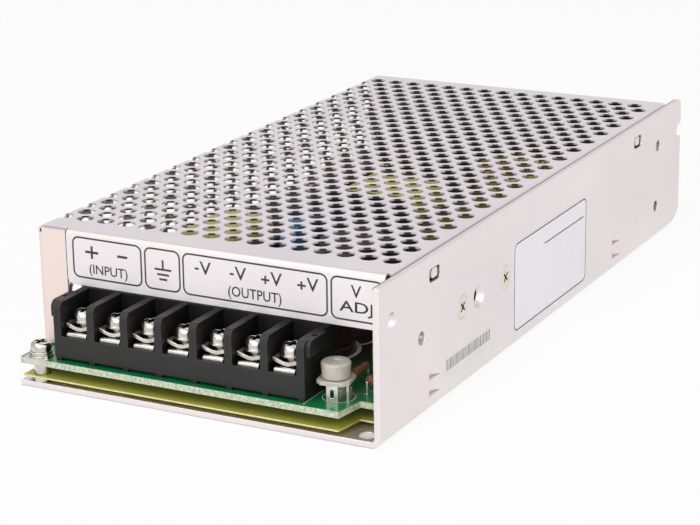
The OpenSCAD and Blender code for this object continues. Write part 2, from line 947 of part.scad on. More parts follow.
// The slot for the screwdriver narrows to the front and so shows the setting
module knob_pointer() {
    y = knob_slot[2] / 2;
    polygon([[-knob_slot[0] / 2, y], [-knob_slot[1] / 2, -y],
        [knob_slot[1] / 2, -y], [knob_slot[0] / 2, y]]);
}

module trimmer_knob() {
    collar_z = board_top + trimmer_flange_z - seat_gap - shaft_collar_h - knob_z;
    color("#f1efe6")
    in_case()
    translate([trimmer_at[0], trimmer_at[1], knob_z])
    difference() {
        union() {
            rotate_extrude() knob_section();
            translate([0, 0, collar_z]) cylinder(d = shaft_collar_d, h = shaft_collar_h);
            translate([0, 0, collar_z - shaft_under])
                cylinder(d = knob_shaft_d, h = shaft_under - collar_z);
        }
        translate([0, 0, knob_h - knob_slot_depth]) linear_extrude(knob_slot_depth + 1) knob_pointer();
    }
}

// Parts on the wall
module each_transistor() {
    for (y = transistor_y)
        translate([wall_in, y, transistor_z]) children();
}

module transistor_pads() {
    color("#a9a7a3")
    in_case()
    each_transistor()
    difference() {
        translate([-pad_t, -package[1] / 2 - 1, board_top + 1 - transistor_z])
            cube([pad_t, package[1] + 2, transistor_z - board_top + tab_h / 2]);
        bar_x([-1, 0, 0], sink_hole_d, 2);
    }
}

module power_transistors() {
    w = package[1];
    body_z = -tab_h / 2 - package[2];
    color("#2b2a2c")
    in_case()
    each_transistor()
    difference() {
        union() {
            translate([-pad_t - tab_t, -w / 2, -tab_h / 2 - eps]) cube([tab_t, w, tab_h]);
            translate([-pad_t - package[0], -w / 2, body_z]) cube(package);
            for (y = [-lead_pitch, 0, lead_pitch])
                translate([-pad_t - package_leg_in, y - package_leg[1] / 2, board_top - transistor_z])
                    cube([package_leg[0], package_leg[1], body_z - board_top + transistor_z + eps]);
        }
        bar_x([-pad_t - tab_t - 1, 0, 0], sink_hole_d, tab_t + 2);
    }
}

module transistor_screws() {
    color("#cdbf93")
    in_case()
    each_transistor()
    difference() {
        union() {
            sink_x([0, 0, 0], sink_hole_d - screw_play, sink_d - screw_play, chassis_t);
            bar_x([-pad_t - tab_t - nut_t - 1, 0, 0], screw_d, pad_t + tab_t + nut_t + 1 + eps);
        }
        cross_cut_x([chassis_t, 0, 0], -sink_cross_depth, 1);
    }
}

module transistor_nuts() {
    color("#c8c4ba")
    in_case()
    each_transistor()
    translate([-pad_t - tab_t - nut_t, 0, 0])
    difference() {
        rotate([0, 90, 0]) cylinder(d = nut_d, h = nut_t, $fn = 6);
        bar_x([-1, 0, 0], screw_d + 2 * thread_play, nut_t + 2);
    }
}

// A double-E core lying on its side: the middle leg runs along Y
module e_core(size, leg) {
    window = [(size[0] - 2 * leg - 2 * leg) / 2, size[1] - 2 * leg];
    translate([-size[0] / 2, -size[1] / 2, 0])
        linear_extrude(size[2])
        difference() {
            square([size[0], size[1]]);
            for (x = [leg, size[0] - leg - window[0]])
                translate([x, leg]) square(window);
        }
}

// A coil former round the middle leg, open along Y, with a flange at each end
module former(inner, outer, l, wall, flange_t) {
    difference() {
        union() {
            along_y(-l / 2, l / 2)
                translate([-inner[0] / 2 - wall, -inner[1] / 2 - wall])
                square([inner[0] + 2 * wall, inner[1] + 2 * wall]);
            for (y = [-l / 2, l / 2 - flange_t])
                along_y(y, y + flange_t)
                    translate([-outer[0] / 2, -outer[1] / 2]) square(outer);
        }
        along_y(-l, l) translate([-inner[0] / 2, -inner[1] / 2]) square(inner);
    }
}

// A taped winding between the former's flanges
module taped_coil(inner, outer, l) {
    along_y(-l / 2, l / 2)
        difference() {
            translate([-outer[0] / 2, -outer[1] / 2]) rounded(outer, wound_r);
            translate([-inner[0] / 2, -inner[1] / 2]) square(inner);
        }
}

module at_board(p) {
    translate([p[0], board_front + p[1], board_top]) children();
}

module at_wall(p) {
    translate([wall_in + p[0], board_front + p[1], board_top]) children();
}

module transformer_core() {
    color("#3a3a3d")
    in_case()
    at_board(transformer_at) translate([0, 0, core_lift]) e_core([core_w, core_l, core_t], core_leg);
}

module transformer_bobbin() {
    color("#1f1e20")
    in_case()
    at_board(transformer_at) translate([0, 0, coil_mid_z])
        former(coil_hole, former_size, coil_l, former_wall, former_flange_t);
}

module transformer_winding() {
    color("#d9b514")
    in_case()
    at_board(transformer_at) translate([0, 0, coil_mid_z])
        taped_coil(wound_hole, wound_size, coil_l - 2 * former_flange_t - 2 * coil_gap);
}

module filter_core() {
    color("#39393b")
    in_case()
    at_board(filter_at) translate([0, 0, filter_lift]) e_core(filter_core, filter_leg);
}

module filter_winding() {
    color("#d9b514")
    in_case()
    at_board(filter_at) translate([0, 0, filter_coil[1] / 2])
        taped_coil(filter_hole, filter_coil, filter_core[1] - 2 * filter_leg - 2 * coil_gap);
}

module output_choke_core() {
    color("#c8c23a")
    in_case()
    at_wall(ring_at) translate([0, 0, ring_lift])
        rotate_extrude()
        translate([ring_in_d / 2, 0]) rounded([(ring_d - ring_in_d) / 2, ring_h], ring_corner_r);
}

// One turn is a flat loop round the ring's section
module ring_turn() {
    w = (ring_d - ring_in_d) / 2 + 2 * coil_gap;
    h = ring_h + 2 * coil_gap;
    along_y(-ring_wire / 2, ring_wire / 2)
        translate([ring_in_d / 2 - coil_gap - ring_wire, -ring_wire])
        difference() {
            rounded([w + 2 * ring_wire, h + 2 * ring_wire], turn_r + ring_wire);
            translate([ring_wire, ring_wire]) rounded([w, h], turn_r);
        }
}

module output_choke_winding() {
    color("#b0642b")
    in_case()
    at_wall(ring_at) translate([0, 0, ring_wire])
        for (i = [0:ring_turns - 1])
            rotate(i * 360 / ring_turns) ring_turn();
}

// A capacitor can: beaded sleeve, round shoulder and a scored top
module can(d, h) {
    r = d / 2;
    difference() {
        union() {
            cylinder(r = r, h = h - can_shoulder);
            rotate_extrude()
                intersection() {
                    square([r, h]);
                    union() {
                        translate([r - can_shoulder, h - can_shoulder]) circle(can_shoulder);
                        square([r - can_shoulder, h]);
                    }
                }
        }
        translate([0, 0, bead_z]) rotate_extrude() translate([r + bead_r - bead_depth, 0]) circle(bead_r);
        for (turn = [0, 90])
            rotate(turn)
                translate([-r * score_l, -score_w / 2, h - score_depth])
                cube([2 * r * score_l, score_w, 1]);
    }
}

module input_capacitors() {
    color("#2a2422")
    in_case()
    for (p = input_can_at)
        at_wall(p) can(input_can_d, input_can_h);
}

module output_capacitors() {
    color("#232427")
    in_case()
    for (p = output_can_at)
        at_wall(p) can(output_can_d, output_can_h);
}

module disc_capacitor() {
    color("#1c5fa8")
    in_case()
    at_board(disc_at) {
        along_x(-disc_t / 2, disc_t / 2) translate([0, disc_d / 2 + disc_lift]) circle(d = disc_d);
        for (y = [-lead_pitch, lead_pitch])
            translate([0, y, 0]) cylinder(d = lead_d, h = disc_lift + disc_d / 2);
    }
}

module film_capacitor() {
    color("#3fa34d")
    in_case()
    at_wall(green_at) linear_extrude(green_box[2])
        rounded([green_box[0], green_box[1]], green_r);
}

module dipped_capacitor() {
    color("#5c1512")
    in_case()
    at_board(dipped_at) {
        translate([-dipped_box[0] / 2, -dipped_box[1] / 2, dipped_lift])
            linear_extrude(dipped_box[2]) rounded([dipped_box[0], dipped_box[1]], dipped_r);
        for (x = [-lead_pitch, lead_pitch])
            translate([x, 0, 0]) cylinder(d = lead_d, h = dipped_lift + eps);
    }
}

// A folded film that stands between the transformer and the transistors
module film_shield() {
    color("#a8a43c")
    in_case()
    at_board(transformer_at)
    translate([core_w / 2 + shield_gap, shield_from, 0])
    along_y(0, shield_l) mirror([1, 0]) {
        translate([0, shield_r]) square([sheet_t, shield_h - shield_r]);
        translate([shield_r, 0]) square([shield_foot - shield_r, sheet_t]);
        translate([shield_r, shield_r]) rotate(180) quarter_ring(shield_r, sheet_t);
    }
}

// Resistors lie along Y above the board, on two bent leads each
module resistor_bodies() {
    color("#8a4a2c")
    in_case()
    for (p = resistor_at)
        at_wall(p) translate([0, 0, resistor_z]) rotate([-90, 0, 0]) {
            cylinder(d = resistor_waist_d, h = resistor_l);
            for (z = [0, resistor_l - resistor_end_l])
                translate([0, 0, z]) cylinder(d = resistor_d, h = resistor_end_l);
        }
}

module resistor_leads() {
    color("#c9c6bf")
    in_case()
    for (p = resistor_at)
        at_wall(p)
            for (side = [0, 1]) {
                y = side * resistor_l;
                out = side == 0 ? -lead_over : lead_over;
                translate([0, min(y, y + out), resistor_z])
                    rotate([-90, 0, 0]) cylinder(d = lead_d, h = lead_over);
                translate([0, y + out, 0]) cylinder(d = lead_d, h = resistor_z);
                translate([0, y + out, resistor_z]) sphere(d = lead_d);
            }
}

module control_chips() {
    color("#29292b")
    in_case()
    for (p = chip_at)
        at_board(p) {
            translate([-chip_size[0] / 2, -chip_size[1] / 2, chip_lift]) cube(chip_size);
            for (x = [-chip_size[0] / 2 - chip_leg[0], chip_size[0] / 2])
                for (i = [-1.5:1:1.5])
                    translate([x, i * lead_pitch - chip_leg[1] / 2, 0]) cube(chip_leg);
        }
}

// A cartridge fuse: its caps stand on the board
module fuse_tube() {
    color("#cfd6d6")
    in_case()
    at_board(fuse_at) translate([0, 0, fuse_d / 2 + fuse_lift])
        along_y_round(-fuse_l / 2 + fuse_cap_l, fuse_l / 2 - fuse_cap_l, fuse_d - 2 * fuse_cap_t);
}

module along_y_round(y1, y2, d) {
    translate([0, y1, 0]) rotate([-90, 0, 0]) cylinder(d = d, h = y2 - y1);
}

module fuse_caps() {
    color("#c6c3bb")
    in_case()
    at_board(fuse_at)
        for (y = [-fuse_l / 2, fuse_l / 2 - fuse_cap_l]) {
            translate([0, 0, fuse_d / 2 + fuse_lift]) along_y_round(y, y + fuse_cap_l, fuse_d);
            translate([-1, y + 1, 0]) cube([2, fuse_cap_l - 2, 2]);
        }
}

chassis();
cover();
cover_screws();
insulation_sheet();
board_standoffs();
circuit_board();
board_flat_washers();
board_spring_washers();
board_screws();
terminal_block();
terminal_contacts();
clamp_plate(1);  // clamp_plate_1
clamp_plate(2);  // clamp_plate_2
clamp_plate(3);  // clamp_plate_3
clamp_plate(4);  // clamp_plate_4
clamp_plate(5);  // clamp_plate_5
clamp_plate(6);  // clamp_plate_6
clamp_plate(7);  // clamp_plate_7
terminal_screw(1);  // terminal_screw_1
terminal_screw(2);  // terminal_screw_2
terminal_screw(3);  // terminal_screw_3
terminal_screw(4);  // terminal_screw_4
terminal_screw(5);  // terminal_screw_5
terminal_screw(6);  // terminal_screw_6
terminal_screw(7);  // terminal_screw_7
trimmer_base();
trimmer_legs();
trimmer_knob();
power_transistors();
transistor_pads();
transistor_screws();
transistor_nuts();
transformer_core();
transformer_bobbin();
transformer_winding();
filter_core();
filter_winding();
output_choke_core();
output_choke_winding();
input_capacitors();
output_capacitors();
disc_capacitor();
film_capacitor();
dipped_capacitor();
film_shield();
resistor_bodies();
resistor_leads();
control_chips();
fuse_tube();
fuse_caps();
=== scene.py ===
# %% [markdown]
# # A DC-DC converter in a perforated case
# The solids of the case, the board and the terminals come from a CAD model.
# This lesson dresses them: it places the camera and the lights, gives every
# solid a procedural finish, and adds the thin things that are printed, stuck
# or plated on the real object. Lengths are in metres, apart from the drawings
# of print and labels, which are in millimetres.

# %% Load the solids
import json
import math

import bmesh
import bpy
from mathutils import Matrix, Vector


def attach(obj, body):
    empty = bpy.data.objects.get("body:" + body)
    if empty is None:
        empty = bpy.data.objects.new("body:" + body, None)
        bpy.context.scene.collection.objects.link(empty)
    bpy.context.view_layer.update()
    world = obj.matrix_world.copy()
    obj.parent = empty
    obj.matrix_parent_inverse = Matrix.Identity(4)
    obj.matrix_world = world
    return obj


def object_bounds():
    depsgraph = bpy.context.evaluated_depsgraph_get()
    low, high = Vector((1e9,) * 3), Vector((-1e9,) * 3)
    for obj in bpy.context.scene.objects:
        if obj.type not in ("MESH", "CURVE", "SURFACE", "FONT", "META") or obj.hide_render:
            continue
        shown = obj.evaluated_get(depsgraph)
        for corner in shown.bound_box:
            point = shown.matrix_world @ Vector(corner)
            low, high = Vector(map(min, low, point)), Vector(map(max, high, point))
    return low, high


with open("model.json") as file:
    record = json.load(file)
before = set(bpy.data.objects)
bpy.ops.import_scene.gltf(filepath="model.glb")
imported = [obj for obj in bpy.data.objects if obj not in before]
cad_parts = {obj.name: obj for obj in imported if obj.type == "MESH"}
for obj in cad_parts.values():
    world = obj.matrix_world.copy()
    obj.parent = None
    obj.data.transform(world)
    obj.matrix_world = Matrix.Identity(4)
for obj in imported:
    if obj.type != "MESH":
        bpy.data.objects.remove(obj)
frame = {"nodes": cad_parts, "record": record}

cad_box = [list(corner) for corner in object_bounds()]
solids = frame["nodes"]
scene = bpy.context.scene
scene.view_settings.view_transform = "Standard"
print("solids:", len(solids), "box in mm:", [[round(c * 1000, 1) for c in p] for p in cad_box])

# %% [markdown]
# ## The camera
# A product photograph like this one is taken with a long lens, so the far end
# of the case is only a little smaller than the near end. A camera can be
# placed by eye, but corners that are known on the object fix it much better.
# The three angles and the place below came from such corners.

# %% Camera
PHOTO_WIDTH = 700
FOCAL_PIXELS = 2163.631
azimuth, elevation, roll = map(math.radians, (27.818, 17.479, -0.989))
lens_place = Vector((0.25339, -0.49948, 0.18579))

back = Vector((
    math.sin(azimuth) * math.cos(elevation),
    -math.cos(azimuth) * math.cos(elevation),
    math.sin(elevation),
))
level = Vector((math.cos(azimuth), math.sin(azimuth), 0))
down = -back.cross(level)
image_right = math.cos(roll) * level - math.sin(roll) * down
image_down = math.sin(roll) * level + math.cos(roll) * down

camera_data = bpy.data.cameras.new("photo_camera")
camera_data.sensor_fit = "HORIZONTAL"
camera_data.lens = FOCAL_PIXELS / PHOTO_WIDTH * camera_data.sensor_width
camera = bpy.data.objects.new("photo_camera", camera_data)
camera.matrix_world = Matrix((image_right, -image_down, back)).transposed().to_4x4()
camera.matrix_world.translation = lens_place
scene.collection.objects.link(camera)
scene.camera = camera
print("lens:", round(camera_data.lens, 1), "mm")

# %% [markdown]
# ## Small helpers for shader nodes
# Node trees are clicked together in the editor. In a script the same tree is
# easier to read if one call makes a node, sets its menus and fills its
# sockets, either with a number or with the output of another node. The nodes
# that come up most often have a short call of their own.


# %% Node helpers
def add_node(tree, kind, sockets=(), **menus):
    node = tree.nodes.new(kind)
    for menu, choice in menus.items():
        setattr(node, menu, choice)
    for socket, value in dict(sockets).items():
        if isinstance(value, bpy.types.NodeSocket):
            tree.links.new(value, node.inputs[socket])
        else:
            node.inputs[socket].default_value = value
    return node


def calculate(tree, operation, *values):
    return add_node(tree, "ShaderNodeMath", enumerate(values), operation=operation).outputs[0]


def ramp(tree, value, start, end, low=0.0, high=1.0):
    """From low to high while the value goes from start to end, and level outside."""
    limits = {0: value, 1: start, 2: end, 3: low, 4: high}
    return add_node(tree, "ShaderNodeMapRange", limits).outputs[0]


def blend(tree, mask, first, second):
    """Two colours: the first where the mask is 0, the second where it is 1."""
    mix = add_node(tree, "ShaderNodeMix", {0: mask, 6: first, 7: second}, data_type="RGBA")
    return mix.outputs[2]


def place_on_object(tree):
    return add_node(tree, "ShaderNodeTexCoord").outputs["Object"]


def split(tree, vector):
    return add_node(tree, "ShaderNodeSeparateXYZ", {0: vector}).outputs


def srgb(red, green, blue):
    """A colour as a picture program shows it, 0 to 255, made linear for the shader."""
    def linear(c):
        c /= 255
        return c / 12.92 if c <= 0.04045 else ((c + 0.055) / 1.055) ** 2.4
    return (linear(red), linear(green), linear(blue), 1.0)


# %% [markdown]
# ## The white room
# The photograph was made in a white tent: the ground is pure white and there
# is hardly a shadow. More light would burn out the pale metal. So the room is
# white to the eye, a little greyer in a gloss, and lights the object less than
# that. The lamps in front then leave the inside of the case dark.


# %% Room and lamps
def seen_directly(tree):
    """1 for rays that show a surface: from the camera, in a gloss or through glass."""
    rays = add_node(tree, "ShaderNodeLightPath").outputs
    gloss = calculate(tree, "MAXIMUM", rays["Is Camera Ray"], rays["Is Glossy Ray"])
    return calculate(tree, "MAXIMUM", gloss, rays["Is Transmission Ray"])


def mix_light(tree, share, first, second):
    return add_node(tree, "ShaderNodeMixShader",
                    {0: share, 1: first.outputs[0], 2: second.outputs[0]})


room = bpy.data.worlds.new("white_room")
room.use_nodes = True
scene.world = room
tree = room.node_tree
tree.nodes.clear()
ambient, walls, white = (
    add_node(tree, "ShaderNodeBackground", {"Color": colour, "Strength": strength})
    for colour, strength in (
        ((0.97, 0.98, 1, 1), 0.4), ((0.98, 0.97, 1, 1), 0.78), ((1, 1, 1, 1), 1.0)))
lit = mix_light(tree, seen_directly(tree), ambient, walls)
eye = add_node(tree, "ShaderNodeLightPath").outputs["Is Camera Ray"]
both = mix_light(tree, eye, lit, white)
add_node(tree, "ShaderNodeOutputWorld", {"Surface": both.outputs[0]})

for name, place, size, power in (
    ("soft_top", (-0.3, -0.5, 0.8), 0.7, 2.5),
    ("soft_front", (0.15, -1.1, 0.55), 1.3, 8.1),
    ("soft_right", (0.85, -0.35, 0.35), 0.6, 2.6),
):
    lamp = bpy.data.lights.new(name, "AREA")
    lamp.size = size
    lamp.energy = power
    holder = bpy.data.objects.new(name, lamp)
    holder.location = place
    holder.rotation_euler = (-Vector(place)).to_track_quat("-Z", "Y").to_euler()
    scene.collection.objects.link(holder)

# %% [markdown]
# ## The ground
# A large plane just under the case catches the last of the shadow. Most of
# what the camera sees of it is plain white light, and the rest is an ordinary
# matt surface, so the contact with the case still darkens a little.

# %% Ground
GROUND_SIZE = 4
GROUND_DROP = 0.0002
GLOW_SHARE = 0.91
ground_mesh = bpy.data.meshes.new("ground")
shape = bmesh.new()
bmesh.ops.create_grid(shape, x_segments=1, y_segments=1, size=GROUND_SIZE)
bmesh.ops.translate(shape, verts=shape.verts, vec=(0, 0, -GROUND_DROP))
shape.to_mesh(ground_mesh)
shape.free()
ground = bpy.data.objects.new("ground", ground_mesh)
scene.collection.objects.link(ground)

ground_paint = bpy.data.materials.new("ground_paint")
ground_paint.use_nodes = True
tree = ground_paint.node_tree
tree.nodes.clear()
share = calculate(tree, "MULTIPLY", seen_directly(tree), GLOW_SHARE)
matt = add_node(tree, "ShaderNodeBsdfDiffuse", {"Color": (0.9, 0.9, 0.9, 1)})
glow = add_node(tree, "ShaderNodeEmission", {"Color": (1, 1, 1, 1), "Strength": 1.0})
both = mix_light(tree, share, matt, glow)
add_node(tree, "ShaderNodeOutputMaterial", {"Surface": both.outputs[0]})
ground_mesh.materials.append(ground_paint)
print("ground at", -GROUND_DROP)

# %% [markdown]
# ## Effects that several finishes share
# No real surface has one even colour. Four effects make most of the
# difference here, and each is a node group that a finish uses with its own
# numbers. The first two are noise: soft patches, and the fine lines that
# rolling leaves in sheet metal, which are patches stretched very long.


# %% Patches and rolling lines
def start_group(name, inputs, outputs):
    group = bpy.data.node_groups.new(name, "ShaderNodeTree")
    for label, kind, start in inputs:
        socket = group.interface.new_socket(label, in_out="INPUT", socket_type=kind)
        socket.default_value = start
    for label, kind in outputs:
        group.interface.new_socket(label, in_out="OUTPUT", socket_type=kind)
    given = group.nodes.new("NodeGroupInput").outputs
    result = group.nodes.new("NodeGroupOutput").inputs
    return group, given, result


NOISE_MIDDLE = (0.3, 0.7)
patches, given, result = start_group(
    "patches", [("Scale", "NodeSocketFloat", 100.0), ("Detail", "NodeSocketFloat", 3.0)],
    [("Mask", "NodeSocketFloat")])
noise = add_node(
    patches, "ShaderNodeTexNoise",
    {"Vector": place_on_object(patches), "Scale": given["Scale"], "Detail": given["Detail"]})
patches.links.new(ramp(patches, noise.outputs[0], *NOISE_MIDDLE), result["Mask"])

rolling, given, result = start_group(
    "rolling_lines", [("Lines", "NodeSocketVector", (1500.0, 25.0, 1500.0))],
    [("Mask", "NodeSocketFloat")])
stretched = add_node(rolling, "ShaderNodeVectorMath",
                     {0: place_on_object(rolling), 1: given["Lines"]}, operation="MULTIPLY")
noise = add_node(rolling, "ShaderNodeTexNoise",
                 {"Vector": stretched.outputs[0], "Scale": 1.0, "Detail": 2.0})
rolling.links.new(noise.outputs[0], result["Mask"])
print("noise groups:", [g.name for g in bpy.data.node_groups])

# %% [markdown]
# The other two ask about the shape near a point: the light that a slightly
# rounded edge catches, painted as a lighter colour, and the shade in a tight
# gap, painted as a darker colour. The solids have sharp edges, so a Bevel node
# says where an edge is near, and an Ambient Occlusion node says where a gap is.

# %% Edges and gaps
EDGE_FACING = (1.0, 0.8)
GAP_CLOSED = 0.3
edges, given, result = start_group(
    "edge_light", [("Radius", "NodeSocketFloat", 0.0003)],
    [("Mask", "NodeSocketFloat"), ("Normal", "NodeSocketVector")])
rounded = add_node(edges, "ShaderNodeBevel", {"Radius": given["Radius"]}, samples=4)
flat = add_node(edges, "ShaderNodeNewGeometry").outputs["Normal"]
facing = add_node(edges, "ShaderNodeVectorMath",
                  {0: rounded.outputs[0], 1: flat}, operation="DOT_PRODUCT")
edges.links.new(ramp(edges, facing.outputs["Value"], *EDGE_FACING), result["Mask"])
edges.links.new(rounded.outputs[0], result["Normal"])

gaps, given, result = start_group(
    "tight_gap", [("Distance", "NodeSocketFloat", 0.0015), ("Open", "NodeSocketFloat", 0.75)],
    [("Mask", "NodeSocketFloat")])
# painted shade: the mask says where a colour is darkened because a near surface closes the gap
sky = add_node(gaps, "ShaderNodeAmbientOcclusion", {"Distance": given["Distance"]}, samples=8)
gaps.links.new(ramp(gaps, sky.outputs["AO"], given["Open"], GAP_CLOSED), result["Mask"])
print("all groups:", [g.name for g in bpy.data.node_groups])


# %% [markdown]
# ## One recipe for plain finishes
# Metal, moulded plastic, lacquer and tape differ in numbers more than in
# kind: two close colours in patches, a grain that changes the roughness and
# lifts the surface a little, and a painted highlight that makes the edges
# lighter. The recipe takes those numbers and leaves the shader open for what
# is special to one finish.


# %% The recipe
def use_group(tree, group, **sockets):
    node = add_node(tree, "ShaderNodeGroup", node_tree=group)
    for socket, value in sockets.items():
        node.inputs[socket].default_value = value
    return node.outputs


def shader_of(material):
    return material.node_tree.nodes["Principled BSDF"]


def plain_finish(name, colours, patch, rough, grain=4000.0, lift=0.00001,
                 metal=0.0, edge=0.0003, edge_highlight=None, lines=None):
    """colours: two close ones; patch, grain: noise scales; rough: least and most; lift: metres."""
    material = bpy.data.materials.new(name)
    material.use_nodes = True
    tree = material.node_tree
    shader = shader_of(material)
    shader.inputs["Metallic"].default_value = metal
    colour = blend(tree, use_group(tree, patches, Scale=patch)["Mask"], *colours)
    if lines:
        fine = use_group(tree, rolling, Lines=lines)["Mask"]
    else:
        fine = use_group(tree, patches, Scale=grain, Detail=2.0)["Mask"]
    tree.links.new(ramp(tree, fine, 0.0, 1.0, *rough), shader.inputs["Roughness"])
    bump = add_node(tree, "ShaderNodeBump", {"Height": fine, "Distance": lift})
    if edge:
        rim = use_group(tree, edges, Radius=edge)
        tree.links.new(rim["Normal"], bump.inputs["Normal"])
        # painted highlight: edges blend towards a lighter colour, the first of the two when none is
        # given
        colour = blend(tree, rim["Mask"], colour, edge_highlight or colours[0])
    tree.links.new(colour, shader.inputs["Base Color"])
    tree.links.new(bump.outputs[0], shader.inputs["Normal"])
    return material


# %% [markdown]
# A finish often needs one more colour somewhere: on an edge, in a bend, in a
# gap. A tint blends it over the colour that the recipe made.


# %% Tints
def tint(material, mask, colour):
    tree = material.node_tree
    target = shader_of(material).inputs["Base Color"]
    tree.links.new(blend(tree, mask, target.links[0].from_socket, colour), target)


def shade_gaps(material, reach, colour, open_share=0.75):
    """Paints shade into a finish where less of its view than the open share is clear to the reach.
    """
    shade = use_group(material.node_tree, gaps, Distance=reach, Open=open_share)["Mask"]
    tint(material, shade, colour)


finishes = {}

# %% [markdown]
# ## Sheet metal
# The chassis and the cover are bare pale sheet with a satin skin. Rolling
# leaves very fine lines along the sheet, too fine to see one by one, so they
# only stretch the gloss. The thick chassis gets a painted highlight along its
# cut edges.

# %% Sheet metal
ROLLED = (1800.0, 20.0, 1800.0)
ROLLED_LIFT = 0.000004
SHEET_METAL = 0.9
chassis_skin = plain_finish(
    "satin_chassis", (srgb(240, 231, 230), srgb(233, 225, 225)), patch=25.0, rough=(0.36, 0.5),
    lines=ROLLED, lift=ROLLED_LIFT, metal=SHEET_METAL,
    edge=0.00035, edge_highlight=srgb(250, 246, 243))
cover_skin = plain_finish(
    "satin_cover", (srgb(241, 235, 236), srgb(233, 227, 229)), patch=30.0, rough=(0.44, 0.58),
    lines=ROLLED, lift=ROLLED_LIFT, metal=SHEET_METAL, edge=0.00012)
finishes["chassis_aluminium"] = chassis_skin
finishes["cover_sheet"] = cover_skin
print("sheet finishes:", sorted(finishes))

# %% [markdown]
# ## Painted light on the cover
# Three places on the cover get painted light. The front return at the left
# end gets a painted warm light. The bend above the front flange is painted
# darker, which tones down the lamp's highlight there. The inside of the rear
# flange, seen through the holes, gets painted shade of a dull olive. A place
# on the object and the direction of the face pick out each of them.

# %% Painted light on the cover
FACES_FRONT = -0.8
RETURN_EDGE = -0.0407
BEND = (-0.1, -0.4)
REAR_FLANGE = 0.09
tree = cover_skin.node_tree
place = split(tree, place_on_object(tree))
normal = split(tree, add_node(tree, "ShaderNodeNewGeometry").outputs["True Normal"])
forward = calculate(tree, "LESS_THAN", normal["Y"], FACES_FRONT)

# painted warm light on the front return at the left end
left_end = calculate(tree, "LESS_THAN", place["X"], RETURN_EDGE)
tint(cover_skin, calculate(tree, "MULTIPLY", forward, left_end), srgb(240, 224, 215))

# painted shade on the front bend, which tones down the lamp's highlight
slope = calculate(tree, "MULTIPLY", normal["Y"], normal["Z"])
tint(cover_skin, ramp(tree, slope, *BEND), srgb(219, 208, 203))

# painted olive shade on the inside of the rear flange
far_end = calculate(tree, "GREATER_THAN", place["Y"], REAR_FLANGE)
tint(cover_skin, calculate(tree, "MULTIPLY", forward, far_end), srgb(84, 78, 58))
print("tones on the cover: return, bend, rear flange")

# %% [markdown]
# ## Walls of the holes
# A punch leaves the wall of a hole torn and dull: in the top sheet that is
# every upright face between its two skins. Seen straight on, such a wall is
# in the shade of its own hole, painted as a dark colour. Seen from the side
# it catches the room's light, painted as a pale colour.

# %% Walls of the holes
SKIN_DEPTH = 0.00055
UPRIGHT = 0.3
SEEN_ASIDE = (0.08, 0.16)
TORN_METAL = 0.1
top_skin = cad_box[1][2]
upright = calculate(tree, "COMPARE", normal["Z"], 0.0, UPRIGHT)
in_sheet = calculate(tree, "GREATER_THAN", place["Z"], top_skin - SKIN_DEPTH)
torn = calculate(tree, "MULTIPLY", upright, in_sheet)
glance = add_node(tree, "ShaderNodeLayerWeight", {"Blend": 0.5}).outputs["Facing"]
aside = ramp(tree, glance, *SEEN_ASIDE)
# painted shade where a hole wall faces the eye, painted light where it is seen from the side
tint(cover_skin, torn, blend(tree, aside, srgb(58, 54, 52), srgb(206, 200, 202)))
torn_metal = ramp(tree, torn, 0.0, 1.0, SHEET_METAL, TORN_METAL)
tree.links.new(torn_metal, shader_of(cover_skin).inputs["Metallic"])
print("torn walls under", round(top_skin * 1000, 2), "mm")

# %% [markdown]
# ## The seam, and shade in gaps
# Where the cover meets the chassis wall, painted shade makes a dark line along
# the wall's top edge. Holes, tabs and folds also get painted shade where the
# sheets nearly touch; on the chassis that shade is olive, a painted reflection
# of the film.

# %% Seam and gaps
SEAM = (0.0475, 0.048)
SEAM_DEPTH = 0.0003
SHEET_GAP = 0.0015
tree = chassis_skin.node_tree
place = split(tree, place_on_object(tree))
beside = ramp(tree, place["X"], SEAM[1], SEAM[0])
on_top = calculate(tree, "GREATER_THAN", place["Z"], top_skin - SEAM_DEPTH)
# painted shade along the seam on the wall's top
tint(chassis_skin, calculate(tree, "MULTIPLY", beside, on_top), srgb(84, 76, 72))
# painted shade in tight gaps: olive on the chassis, grey-brown on the cover
shade_gaps(chassis_skin, SHEET_GAP, srgb(120, 110, 86))
shade_gaps(cover_skin, SHEET_GAP, srgb(96, 88, 82))
print("seam from X", SEAM[0], "to", SEAM[1])

# %% [markdown]
# ## Screws, plates and pins
# Screws and clamp plates are nickel plated and the pins are tinned: bright,
# with darker streaks where the room's dark parts show, and a painted highlight
# on their edges. The two countersunk screws in the wall have the straw colour
# of passivated zinc. Their slots and the gaps round their heads get painted
# shade.

# %% Bright metal
SCREW_GAP = 0.0012
# the last colour in each row is a painted highlight for the edges
for slot, name, light, dark, patch, rough, edge_highlight in (
    ("screw_steel", "nickel_screw",
     (222, 217, 209), (188, 181, 170), 500.0, (0.08, 0.2), (245, 242, 236)),
    ("plated_metal", "tinned_plate",
     (228, 224, 216), (196, 190, 180), 400.0, (0.16, 0.32), (250, 248, 242)),
    ("screw_yellow", "straw_zinc_screw",
     (238, 232, 224), (208, 198, 180), 700.0, (0.2, 0.34), (246, 243, 234)),
):
    finishes[slot] = plain_finish(
        name, (srgb(*light), srgb(*dark)), patch=patch, rough=rough,
        metal=1.0, edge=0.0002, edge_highlight=srgb(*edge_highlight))
# painted shade in the slots and round the heads
shade_gaps(finishes["screw_steel"], SCREW_GAP, srgb(66, 58, 50))
shade_gaps(finishes["screw_yellow"], SCREW_GAP, srgb(150, 114, 74))

finishes["copper_wire"] = plain_finish(
    "enamelled_copper", (srgb(222, 186, 104), srgb(196, 154, 78)), patch=300.0, rough=(0.2, 0.35),
    metal=0.4, edge=0.0, grain=1500.0)
shader_of(finishes["copper_wire"]).inputs["Coat Weight"].default_value = 0.5
print("with bright metal:", len(finishes), "finishes")
